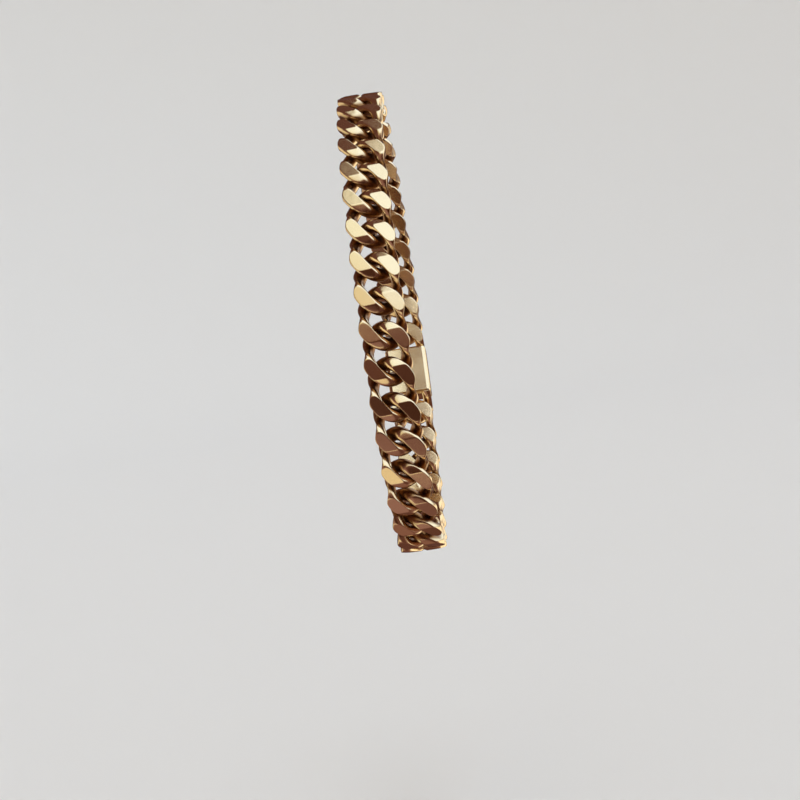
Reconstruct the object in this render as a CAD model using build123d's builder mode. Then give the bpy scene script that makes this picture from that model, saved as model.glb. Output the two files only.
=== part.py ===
from build123d import *
from math import cos, degrees, radians, sin, sqrt
import os

# Cuban link bracelet, closed and in the oval form that it has when worn, in millimetres.
# The origin is the middle of its hollow. X runs through the hollow, Z is up and the
# front of the loop faces -Y.
# Each link has its own axes: x across the chain, y along it and z out of the loop.

# Oval of the chain's middle line, and how far its top leans back, in degrees
loop_height = 68.0
loop_depth = 48.4
loop_lean = 20.0

# Wire ring of a link
wire_diameter = 1.95
ring_opening_width = 3.75
hook_gap = 0.29
crossing_gap = 0.17
second_link_gap = 0.67

# Flats filed on a link
face_cut = 0.52
side_cut = 0.575

# Clasp
eye_distance = 9.2
eye_root = 1.0
bar_end_gap = 0.65
bar_margin = 0.15
bar_edge_radius = 0.6
clasp_shift = -1.35

# Twist of a link in degrees: the least, the step, and how much steeper its sides climb
least_twist = 30
twist_step = 1
side_lead = 10

# Loop, from the middle of the back over the top to the front
lean = radians(loop_lean)
loop_plane = Plane(origin=(0, 0, 0), x_dir=(0, cos(lean), -sin(lean)), z_dir=(1, 0, 0))
with BuildLine(loop_plane) as loop:
    oval = EllipticalCenterArc((0, 0), loop_depth / 2, loop_height / 2, 0, arc_size=360)
tightest_bend = loop_depth**2 / (2 * loop_height)

# Links fill the loop evenly between the two eyes of the clasp
chain_length = oval.length - eye_distance
pitch_count = round(chain_length / (2 * wire_diameter + hook_gap + second_link_gap))
link_pitch = chain_length / pitch_count
link_count = pitch_count - 1

# Middle line of the ring
wire_radius = wire_diameter / 2
ring_half_width = ring_opening_width / 2 + wire_radius
ring_half_length = (link_pitch + wire_diameter + hook_gap) / 2


def seat(distance):
    """Plane of a link whose middle lies at a distance round the loop."""
    place = distance % oval.length
    middle = oval.position_at(place, position_mode=PositionMode.LENGTH)
    forward = oval.tangent_at(place, position_mode=PositionMode.LENGTH)
    return Plane(origin=middle, x_dir=(-1, 0, 0), z_dir=forward.cross(Vector(1, 0, 0)))


def quarter_ring(twist):
    """Middle line of a quarter of the ring: two tangent arcs from its side to its end."""
    side = Vector(ring_half_width, 0, 0)
    climb = Vector(0, cos(radians(twist + side_lead)), sin(radians(twist + side_lead)))
    end = Vector(0, ring_half_length, 0)
    cross = Vector(-cos(radians(twist)), 0, -sin(radians(twist)))
    # Both arcs have tangents of one length, and this is that length
    chord = end - side
    spread = 2 * (1 - climb.dot(cross))
    along = chord.dot(climb + cross)
    reach = (sqrt(along**2 + spread * chord.dot(chord)) - along) / spread
    joint = (side + end + (climb - cross) * reach) / 2
    with BuildLine() as quarter:
        rise = TangentArc(side, joint, tangent=climb)
        TangentArc(joint, end, tangent=rise % 1)
    return quarter.wires()[0]


def crossing(twist):
    """Distance between the middle lines of two neighbours where the loop bends most."""
    quarter = quarter_ring(twist)
    ring = [quarter] + [quarter.rotate(axis, 180) for axis in (Axis.X, Axis.Y, Axis.Z)]
    bend = Rot(X=-degrees(link_pitch / tightest_bend))
    step = Pos(Z=-tightest_bend) * bend * Pos(Z=tightest_bend)
    return min(one.distance_to(step * other) for one in ring for other in ring)


# The wire is twisted until neighbours clear each other, or as far as twisting helps
link_twist = least_twist
reached = crossing(link_twist)
gained = reached
while reached < wire_diameter + crossing_gap and gained > 0:
    link_twist += twist_step
    gained = crossing(link_twist) - reached
    reached += gained

# Flats of the link
quarter_line = quarter_ring(link_twist)
half_thickness = quarter_line.bounding_box().max.Z + wire_radius - face_cut
half_width = ring_half_width + wire_radius - side_cut

# Quarter of the link, trimmed by its flats
with BuildPart() as quarter_link:
    with BuildSketch(Plane(origin=quarter_line @ 0, z_dir=quarter_line % 0)):
        Circle(wire_radius)
    sweep(path=quarter_line)
    Box(2 * half_width, 4 * ring_half_length, 2 * half_thickness, mode=Mode.INTERSECT)

# Link, the same quarter turned about each of its axes
with BuildPart() as link:
    add(quarter_link.part)
    for axis in (Axis.X, Axis.Y, Axis.Z):
        add(quarter_link.part.rotate(axis, 180))

# Eye of the clasp: the far half of a link, with a root to sit in the bar
bar_half_length = (eye_distance + link_pitch - hook_gap) / 2 - wire_diameter - bar_end_gap
root_start = bar_half_length - eye_root - eye_distance / 2
with BuildPart() as eye:
    add(link.part)
    with Locations((0, root_start, 0)):
        Box(
            4 * half_width,
            4 * ring_half_length,
            4 * half_thickness,
            align=(Align.CENTER, Align.MIN, Align.CENTER),
            mode=Mode.INTERSECT,
        )

# Side outline of the clasp's bar, which follows the loop a little thicker than the links
bar_seats = [seat(clasp_shift + reach) for reach in (-bar_half_length, 0, bar_half_length)]
bar_rise = half_thickness + bar_margin
with BuildLine() as bar_side:
    outside = ThreePointArc([place.origin + place.z_dir * bar_rise for place in bar_seats])
    inside = ThreePointArc([place.origin - place.z_dir * bar_rise for place in bar_seats])
    Line(outside @ 0, inside @ 0)
    Line(outside @ 1, inside @ 1)
bar_outline = make_face(bar_side.edges())

# Clasp: the bar with an eye at each end
with BuildPart() as clasp:
    extrude(bar_outline, amount=half_width + bar_margin, both=True)
    fillet(clasp.edges(), bar_edge_radius)
    with Locations(seat(clasp_shift + eye_distance / 2)):
        add(eye.part)
    with Locations(seat(clasp_shift - eye_distance / 2)):
        add(eye.part.rotate(Axis.Z, 180))
clasp.part.label = "clasp"

# Save each piece at its place
os.makedirs("parts", exist_ok=True)
export_step(clasp.part, "parts/clasp.step")
for number in range(1, link_count + 1):
    with BuildPart() as placed_link:
        with Locations(seat(clasp_shift + eye_distance / 2 + number * link_pitch)):
            add(link.part)
    placed_link.part.label = f"link_{number:02d}"
    export_step(placed_link.part, f"parts/{placed_link.part.label}.step")
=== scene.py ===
import bpy
import numpy as np
from mathutils import Matrix, Vector


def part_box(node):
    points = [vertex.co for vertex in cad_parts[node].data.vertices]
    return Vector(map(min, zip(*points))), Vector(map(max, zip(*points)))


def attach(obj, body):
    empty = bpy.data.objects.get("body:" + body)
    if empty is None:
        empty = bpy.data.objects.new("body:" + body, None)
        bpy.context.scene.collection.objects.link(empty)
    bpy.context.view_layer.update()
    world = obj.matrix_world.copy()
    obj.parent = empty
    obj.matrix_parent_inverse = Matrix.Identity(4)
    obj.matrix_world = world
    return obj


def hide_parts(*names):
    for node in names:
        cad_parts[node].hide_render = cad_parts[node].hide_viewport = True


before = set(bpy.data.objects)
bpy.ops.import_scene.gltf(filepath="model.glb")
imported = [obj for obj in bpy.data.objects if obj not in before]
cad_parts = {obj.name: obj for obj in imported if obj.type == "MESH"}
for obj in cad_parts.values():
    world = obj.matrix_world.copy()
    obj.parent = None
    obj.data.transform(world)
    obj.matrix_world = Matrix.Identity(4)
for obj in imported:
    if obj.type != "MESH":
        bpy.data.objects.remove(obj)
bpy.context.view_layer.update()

# Links: closed rings of round 14 carat gold wire, each twisted and hooked through the next.
# The closed chain is filed on its front, back and both sides and then polished, so a link
# shows broad facets with worn edges beside the round of its wire. Sizes in millimetres.
millimetre = 0.001
wire_radius = 0.975
ring_half_width = 2.85
ring_half_length = 3.549
end_twist = np.radians(44)
side_climb = np.radians(54)
face_cut = 0.46
face_slope = np.array([0.03, 0.052])
crest_width = 0.6
end_start = 3.25
end_slope = 0.55
end_height = 1.55
side_flat = 3.33
side_bulge = 0.13
side_middle = 2.3
side_splay = 0.1
side_softness = 14
edge_crispness = 45
hub_share = 0.6
turn_share = 0.12
fine_steps = 720
link_stations = 152
link_sides = 52

# Oval that the chain's middle line follows, with its top leaning back
loop_height = 68.0
loop_depth = 48.4
loop_lean = np.radians(20)


def arc_points(start, tangent, end, share):
    """Points and tangents of the arc that leaves start along tangent and ends at end.

    The chord meets the tangent at half the arc's turn, so radius = chord / (2 sin half turn),
    and a point is start + radius (sin t tangent + (1 - cos t) side) for t along the turn.
    """
    chord = end - start
    side = chord - (chord @ tangent) * tangent
    side /= np.linalg.norm(side)
    half_turn = np.arctan2(chord @ side, chord @ tangent)
    radius = np.linalg.norm(chord) / (2 * np.sin(half_turn))
    turn = 2 * half_turn * share[:, None]
    points = start + radius * (np.sin(turn) * tangent + (1 - np.cos(turn)) * side)
    return points, np.cos(turn) * tangent + np.sin(turn) * side, 2 * half_turn * radius


def ring_line(count):
    """Middle line of a link: count points and tangents round the twisted ring.

    A quarter from the side to the end is two tangent arcs with tangents of one length. The
    other quarters are the same one turned half round about y, z and x.
    """
    start = np.array([ring_half_width, 0, 0])
    climb = np.array([0, np.cos(side_climb), np.sin(side_climb)])
    end = np.array([0, ring_half_length, 0])
    across = np.array([-np.cos(end_twist), 0, -np.sin(end_twist)])
    chord = end - start
    spread = 2 * (1 - climb @ across)
    along = chord @ (climb + across)
    reach = (np.sqrt(along**2 + spread * (chord @ chord)) - along) / spread
    joint = (start + end + (climb - across) * reach) / 2
    turns = np.arange(count) / count * 4
    quarter = turns.astype(int)
    share = np.where(quarter % 2 == 0, turns - quarter, 1 - turns + quarter)
    first = arc_points(start, climb, joint, np.zeros(1))
    mid_tangent = arc_points(start, climb, joint, np.ones(1))[1][0]
    split = first[2] / (first[2] + arc_points(joint, mid_tangent, end, np.zeros(1))[2])
    early = arc_points(start, climb, joint, share / split)
    late = arc_points(joint, mid_tangent, end, (share - split) / (1 - split))
    on_early = (share < split)[:, None]
    signs = np.array([[1, 1, 1], [-1, 1, -1], [-1, -1, 1], [1, -1, -1]])[quarter]
    way = np.where(quarter % 2 == 0, 1, -1)[:, None]
    points = signs * np.where(on_early, early[0], late[0])
    return points, signs * way * np.where(on_early, early[1], late[1])


def facing(centres, sign):
    """Normals and distances of the filed face over each section, front or back by the sign.

    The file leaves the face a little domed, as four flats that run into each other: it drops
    by slope (sqrt(s^2 + crest^2) - crest) both ways, and a section takes the plane that
    touches it there. The plane's distance is measured along its own unscaled normal.
    """
    across = centres[:, :2]
    spread = np.sqrt(across**2 + crest_width**2)
    drop = (face_slope * (spread - crest_width)).sum(axis=1)
    lean = face_slope * across / spread
    top = np.abs(centres[:, 2]).max() + wire_radius - face_cut
    normals = np.concatenate([lean, np.full((len(centres), 1), sign)], axis=1)
    return normals, top - drop + (lean * across).sum(axis=1)


def end_bevel(centres, sign, way):
    """Normals and distances of a bevel at a link's end, front or back and far or near.

    It is the flat sign z + slope way y = height + slope start. Where it crosses the filed
    face, it leaves a short broad rim that leans towards the next link.
    """
    normals = np.tile(np.array([0, way * end_slope, sign]), (len(centres), 1))
    return normals, np.full(len(centres), end_height + end_slope * end_start)


def siding(centres, sign):
    """Normals and distances of the filed side by each section, right or left by the sign.

    The side stands at flat - bulge (spread - middle)^2, where spread is sqrt(y^2 + crest^2),
    and a section takes the plane that touches it there. The planes splay towards the front,
    so that the chain is a little narrower on its inner side.
    """
    along = centres[:, 1]
    spread = np.sqrt(along**2 + crest_width**2)
    away = spread - side_middle
    lean = 2 * side_bulge * away * along / spread
    normals = np.stack([np.full_like(lean, sign), lean, np.full_like(lean, -side_splay)], axis=1)
    return normals, side_flat - side_bulge * away**2 + lean * along


def wire_surface(centres, inward, upward, angles):
    """Points and normals of the filed wire at the given angles round each section.

    Along a direction the wire ends at its own radius or at a filed face, whichever is first:
    reach = 1 / (sum of (direction . normal / distance)^power)^(1 / power), where the power
    rounds the edge. The sides and the end bevels, worn the most, join the round wire with a
    low power, and the front and back join it all with a high one. The same shares blend the
    normals. A face that a direction turns away from counts as next to nothing.
    """
    next_to_nothing = 1e-9
    directions = np.cos(angles)[..., None] * inward[:, None] + np.sin(angles)[..., None] * upward[:, None]
    nearness = np.full(angles.shape, 1 / wire_radius)
    normals = directions / wire_radius
    worn = [siding(centres, sign) for sign in (1, -1)]
    worn += [end_bevel(centres, sign, way) for sign in (1, -1) for way in (1, -1)]
    faces = [facing(centres, sign) for sign in (1, -1)]
    for planes, power in ((worn, side_softness), (faces, edge_crispness)):
        for normal, offset in planes:
            room = (offset - (centres * normal).sum(axis=1))[:, None]
            plane = np.maximum((directions * normal[:, None]).sum(axis=-1), next_to_nothing) / room
            most = np.maximum(nearness, plane)
            both = most * ((nearness / most) ** power + (plane / most) ** power) ** (1 / power)
            normals = ((nearness / both) ** (power - 1))[..., None] * normals
            normals += ((plane / both) ** (power - 1) / room)[..., None] * normal[:, None]
            nearness = both
    normals = normals / np.linalg.norm(normals, axis=-1, keepdims=True)
    return centres[:, None] + directions / nearness[..., None], normals


def link_surface(stations, sides):
    """Grid of points and normals of one link, stations along the ring by sides round the wire.

    A section's inward direction points to the link's long axis, at a share of its own y. The
    angles round it are spread evenly by the length gone plus a share of the turn of the
    surface, so that the worn edges get enough rows.
    """
    centres, tangents = ring_line(stations)
    inward = centres * np.array([0, hub_share, 0]) - centres
    inward -= (inward * tangents).sum(axis=1, keepdims=True) * tangents
    inward /= np.linalg.norm(inward, axis=1, keepdims=True)
    upward = np.cross(tangents, inward)
    fine = np.linspace(0, 2 * np.pi, fine_steps + 1)
    angles = np.broadcast_to(fine, (stations, fine.size))
    points, normals = wire_surface(centres, inward, upward, angles)
    length = np.linalg.norm(np.diff(points, axis=1), axis=-1)
    turn = np.linalg.norm(np.diff(normals, axis=1), axis=-1)
    gone = np.cumsum(length / length.sum(axis=1, keepdims=True) + turn_share * turn, axis=1)
    gone = np.concatenate([np.zeros((stations, 1)), gone], axis=1) / gone[:, -1:]
    row = 2 * np.arange(stations)[:, None]
    wanted = np.arange(sides) / sides + row
    angles = np.interp(wanted.ravel(), (gone + row).ravel(), np.tile(fine, stations))
    return wire_surface(centres, inward, upward, angles.reshape(stations, sides))


def seated(name, points, normals):
    """Carry a link's points and normals from its own axes to its seat in the chain.

    The seat's middle is the middle of the node's box. Its outward direction is the gradient
    of the oval there, (y / depth^2, z / height^2) in the oval's own leaning axes.
    """
    low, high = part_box(name)
    middle = (np.array(low) + np.array(high)) / 2
    lean = np.array([[np.cos(loop_lean), -np.sin(loop_lean)], [np.sin(loop_lean), np.cos(loop_lean)]])
    gradient = lean.T @ ((lean @ middle[1:]) / np.array([loop_depth**2, loop_height**2]))
    outward = np.array([0, *(gradient / np.linalg.norm(gradient))])
    across = np.array([-1.0, 0, 0])
    axes = np.stack([across, np.cross(outward, across), outward])
    return middle + points @ axes * millimetre, normals @ axes


def recess_shade_share(points):
    """Share of painted shade and dullness in a link's recesses: 1 deep inside a link, 0 on its faces and
    sides.

    It is smoothstep((start - |z| / face height) / fade) times the same of |x| / half width,
    with a start and a fade of its own.
    """
    height, half_width = np.abs(points[..., 2]), np.abs(points[..., 0])
    face_start, face_fade = 0.72, 0.35
    side_start, side_fade = 0.97, 0.2
    deep = np.clip((face_start - height / height.max()) / face_fade, 0, 1)
    inner = np.clip((side_start - half_width / half_width.max()) / side_fade, 0, 1)
    return deep**2 * (3 - 2 * deep) * inner**2 * (3 - 2 * inner)


def grid_mesh(name, points, normals, shelter):
    """Mesh of a grid that closes on itself both ways, with normals and the share of painted recess shade
    at its points.
    """
    rows, columns = points.shape[:2]
    row = np.arange(rows)[:, None]
    column = np.arange(columns)
    next_row = (row + 1) % rows
    next_column = (column + 1) % columns
    corners = [row * columns + column, row * columns + next_column]
    corners += [next_row * columns + next_column, next_row * columns + column]
    faces = np.stack(np.broadcast_arrays(*corners), axis=-1).reshape(-1, 4)
    mesh = bpy.data.meshes.new(name)
    mesh.from_pydata(points.reshape(-1, 3), [], faces)
    mesh.polygons.foreach_set("use_smooth", np.ones(len(faces), dtype=bool))
    mesh.normals_split_custom_set_from_vertices(normals.reshape(-1, 3))
    mesh.attributes.new("shelter", "FLOAT", "POINT").data.foreach_set("value", shelter.ravel())
    return mesh


def linear(code):
    """Linear colour of an sRGB hex value such as e2b35c."""
    part = np.array([int(code[place : place + 2], 16) for place in (0, 2, 4)]) / 255
    part = np.where(part <= 0.04045, part / 12.92, ((part + 0.055) / 1.055) ** 2.4)
    return (*part.tolist(), 1.0)


def add_node(tree, kind, settings=(), links=()):
    """Add a node, set its sockets and properties by name and link its named inputs."""
    node = tree.nodes.new(kind)
    for key, value in dict(settings).items():
        if key in node.inputs.keys() or isinstance(key, int):
            node.inputs[key].default_value = value
        else:
            setattr(node, key, value)
    for key, source in dict(links).items():
        tree.links.new(source, node.inputs[key])
    return node


# Polished 14 carat yellow gold: a warm mirror that is a little pale beside pure gold. Inside
# the links the wire is rougher, and its colour is painted darker and browner there as shade.
# The mop leaves a grain, drawn here as coarse as it needs to show, and the file a ripple.
grain_width = 1 / 9
grain_depth = 0.006
ripple_width = 10 / 7
ripple_depth = 0.08
gold = bpy.data.materials.new("polished_yellow_gold")
gold.use_nodes = True
gold_tree = gold.node_tree
gold_tree.nodes.clear()
spot = add_node(gold_tree, "ShaderNodeTexCoord")
grain = add_node(
    gold_tree,
    "ShaderNodeTexNoise",
    {"Scale": 1 / (grain_width * millimetre), "Detail": 3.0, "Roughness": 0.6},
    {"Vector": spot.outputs["Object"]},
)
ripple = add_node(
    gold_tree,
    "ShaderNodeTexNoise",
    {"Scale": 1 / (ripple_width * millimetre), "Detail": 1.0, "Roughness": 0.5},
    {"Vector": spot.outputs["Object"]},
)
ripple_bump = add_node(
    gold_tree,
    "ShaderNodeBump",
    {"Strength": 0.1, "Distance": ripple_depth * millimetre},
    {"Height": ripple.outputs["Fac"]},
)
grain_bump = add_node(
    gold_tree,
    "ShaderNodeBump",
    {"Strength": 0.3, "Distance": grain_depth * millimetre},
    {"Height": grain.outputs["Fac"], "Normal": ripple_bump.outputs["Normal"]},
)
# Deep inside the links the colour ramps to a darker brown, which is painted shade in the recesses, and the
# roughness rises.
shelter = add_node(gold_tree, "ShaderNodeAttribute", {"attribute_name": "shelter"})
gold_with_recess_shade = add_node(gold_tree, "ShaderNodeValToRGB", {}, {"Fac": shelter.outputs["Fac"]})
gold_with_recess_shade.color_ramp.elements[0].color = linear("f8dcad")
gold_with_recess_shade.color_ramp.elements[1].color = linear("986c42")
polish = add_node(
    gold_tree,
    "ShaderNodeMapRange",
    {"From Min": 0.3, "From Max": 0.7, "To Min": 0.1, "To Max": 0.2},
    {"Value": grain.outputs["Fac"]},
)
dullness = add_node(
    gold_tree,
    "ShaderNodeMath",
    {"operation": "MULTIPLY_ADD", 1: 0.15},
    {0: shelter.outputs["Fac"], 2: polish.outputs["Result"]},
)
surface = add_node(
    gold_tree,
    "ShaderNodeBsdfPrincipled",
    {"Metallic": 1.0},
    {
        "Base Color": gold_with_recess_shade.outputs["Color"],
        "Roughness": dullness.outputs["Value"],
        "Normal": grain_bump.outputs["Normal"],
    },
)
add_node(gold_tree, "ShaderNodeOutputMaterial", {}, {"Surface": surface.outputs["BSDF"]})

link_points, link_normals = link_surface(link_stations, link_sides)
for name in sorted(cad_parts):
    if name.startswith("link_"):
        # The last grid is each point's share of painted shade and dullness in the link's recesses.
        mesh = grid_mesh(name + "_ring", *seated(name, link_points, link_normals), recess_shade_share(link_points))
        mesh.materials.append(gold)
        ring = bpy.data.objects.new(name + "_ring", mesh)
        bpy.context.scene.collection.objects.link(ring)
        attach(ring, "root")
        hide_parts(name)

# Clasp: one plain curved bar with an eye at each end, at the back of the bracelet.
# It is cast and polished in the same gold as the links.
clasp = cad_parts["clasp"]
clasp.data.materials.clear()
clasp.data.materials.append(gold)

# Floor and backdrop: one pale matt sweep, flat under the bracelet and curving up into a wall
# all round it. It is kept out of the gold's reflections.
floor_drop = 0.075
floor_radius = 1.0
sweep_radius = 0.7
sweep_steps = 24
wall_top = 4.0
sweep_sides = 96
turn = np.linspace(0, np.pi / 2, sweep_steps + 1)
profile_radius = np.append(floor_radius + sweep_radius * np.sin(turn), floor_radius + sweep_radius)
profile_height = np.append(sweep_radius * (1 - np.cos(turn)), wall_top) - floor_drop
around = np.arange(sweep_sides) / sweep_sides * 2 * np.pi
sweep_points = np.stack(
    [
        profile_radius[:, None] * np.cos(around),
        profile_radius[:, None] * np.sin(around),
        np.repeat(profile_height[:, None], sweep_sides, axis=1),
    ],
    axis=-1,
)
ring_start = np.arange(profile_radius.size - 1)[:, None] * sweep_sides
corner = np.arange(sweep_sides)
next_corner = (corner + 1) % sweep_sides
sweep_faces = np.stack(
    [
        ring_start + corner,
        ring_start + sweep_sides + corner,
        ring_start + sweep_sides + next_corner,
        ring_start + next_corner,
    ],
    axis=-1,
)
sweep_mesh = bpy.data.meshes.new("backdrop")
all_faces = [corner.tolist(), *sweep_faces.reshape(-1, 4).tolist()]
sweep_mesh.from_pydata(sweep_points.reshape(-1, 3), [], all_faces)
sweep_mesh.polygons.foreach_set("use_smooth", np.arange(len(all_faces)) > 0)
paper = bpy.data.materials.new("pale_matt_paper")
paper.use_nodes = True
paper_surface = paper.node_tree.nodes["Principled BSDF"]
paper_surface.inputs["Base Color"].default_value = linear("ece9e4")
paper_surface.inputs["Roughness"].default_value = 0.9
sweep_mesh.materials.append(paper)
backdrop = bpy.data.objects.new("backdrop", sweep_mesh)
bpy.context.scene.collection.objects.link(backdrop)
backdrop.visible_glossy = False
backdrop.visible_shadow = False

# Studio light: a dim warm room with one broad soft light that arches over the bracelet from
# its left front to its right back. Smaller soft lights stand low at its left front and behind
# it at its right and left. All are far away, as a sky is, and the polished gold mirrors them.
room_strength = 1.6
world = bpy.data.worlds.new("studio")
bpy.context.scene.world = world
world.use_nodes = True
world_tree = world.node_tree
world_tree.nodes.clear()
direction = add_node(world_tree, "ShaderNodeTexCoord").outputs["Generated"]

# Each light covers those before it: its colour, then the soft edges that bound it. An edge is
# an axis, and how far along that axis a direction goes where the light starts and is full.
arch_axis = (-0.2, 0.75, 0.62)
arch_top = (-3.0, 0.75, 0.62)
arch_edges = (
    (arch_axis, -0.53, -0.47),
    (arch_top, 0.27, 0.18),
    ((0.0, -0.34, 0.94), -0.1, 0.1),
)
lights = (
    ("341f18", ((0.1, -0.95, -0.3), 0.93, 0.98)),
    ("775c5d", ((-0.8, -0.45, -0.85), 0.6, 0.84), ((0.0, 1.0, 0.0), 0.2, -0.15)),
    ("6b4e4a", (arch_axis, -0.63, -0.55), (arch_axis, -0.2, -0.45)),
    ("bbb59e", *arch_edges),
    ("d0dcdd", *arch_edges, (arch_axis, -0.4, 0.05), (arch_top, 0.23, 0.18)),
    (
        "d5e6fc",
        *arch_edges,
        (arch_axis, -0.55, -0.33),
        (arch_top, 0.225, 0.18),
        ((1.0, 0.0, 0.0), -0.13, -0.02),
    ),
    (
        "e6dfd0",
        ((1.0, 0.0, 0.0), 0.3, 0.55),
        ((0.0, 0.208, -0.978), -0.05, 0.08),
        ((0.0, 0.966, 0.259), -0.05, 0.15),
    ),
    (
        "b9ae9b",
        ((-1.0, 0.0, 0.0), 0.35, 0.6),
        ((0.0, 0.208, -0.978), -0.05, 0.08),
        ((0.0, 0.574, 0.819), -0.08, 0.1),
    ),
    ("b7b49c", ((-0.75, 0.2, -0.6), 0.86, 0.93)),
    (
        "c1b9a3",
        ((0.0, 0.788, -0.616), -0.14, -0.08),
        ((0.0, 0.788, -0.616), 0.14, 0.08),
        ((-0.5, -0.45, -0.74), 0.78, 0.9),
    ),
)
room = add_node(world_tree, "ShaderNodeBackground", {"Strength": room_strength, "Color": linear("4b312d")})
for code, *edges in lights:
    share = None
    for axis, starts, full in edges:
        along = add_node(
            world_tree,
            "ShaderNodeVectorMath",
            {"operation": "DOT_PRODUCT", 1: Vector(axis).normalized()},
            {0: direction},
        )
        edge = add_node(
            world_tree,
            "ShaderNodeMapRange",
            {"interpolation_type": "SMOOTHSTEP", "From Min": starts, "From Max": full},
            {"Value": along.outputs["Value"]},
        )
        if share:
            both = add_node(
                world_tree,
                "ShaderNodeMath",
                {"operation": "MULTIPLY"},
                {0: share, 1: edge.outputs["Result"]},
            )
            share = both.outputs["Value"]
        else:
            share = edge.outputs["Result"]
    cover = add_node(
        world_tree,
        "ShaderNodeMix",
        {"data_type": "RGBA", 6: room.inputs["Color"].default_value[:], 7: linear(code)},
        {0: share},
    )
    if room.inputs["Color"].is_linked:
        world_tree.links.new(room.inputs["Color"].links[0].from_socket, cover.inputs[6])
    world_tree.links.new(cover.outputs[2], room.inputs["Color"])
add_node(world_tree, "ShaderNodeOutputWorld", {}, {"Surface": room.outputs["Background"]})

# Backdrop light: a large soft box high overhead that lights the paper all round the bracelet.
# It is kept off the gold, which mirrors the studio light alone.
light = bpy.data.lights.new("backdrop_light", "AREA")
light.size = 2.0
light.energy = 13.0
light.color = (1.0, 0.97, 0.93)
lamp = bpy.data.objects.new("backdrop_light", light)
bpy.context.scene.collection.objects.link(lamp)
lamp.location = (0, 0, 2.5)
lamp.visible_glossy = False
lamp.visible_camera = False
bpy.context.scene.view_settings.view_transform = "Standard"

# Camera: in front of the bracelet and a little to its right, and rolled as the photograph is.
# Places are in metres, and the focal length is in pixels of the picture.
camera_distance = 0.230
camera_azimuth = np.radians(3.173)
camera_roll = np.radians(8.555)
aim = Vector((-0.00075, 0, -0.012451))
focal_pixels = 1509.7
image_pixels = 800
place = Vector((camera_distance * np.sin(camera_azimuth), -camera_distance * np.cos(camera_azimuth), 0))
back = (place - aim).normalized()
right = Vector((0, 0, 1)).cross(back).normalized()
up = back.cross(right)
rolled_right = np.cos(camera_roll) * right - np.sin(camera_roll) * up
rolled_up = np.sin(camera_roll) * right + np.cos(camera_roll) * up
camera_data = bpy.data.cameras.new("camera")
camera_data.sensor_width = 36.0
camera_data.lens = focal_pixels * camera_data.sensor_width / image_pixels
camera_data.clip_start = 0.01
camera = bpy.data.objects.new("camera", camera_data)
bpy.context.scene.collection.objects.link(camera)
turned = Matrix((rolled_right, rolled_up, back)).transposed().to_4x4()
camera.matrix_world = Matrix.Translation(place) @ turned
bpy.context.scene.camera = camera
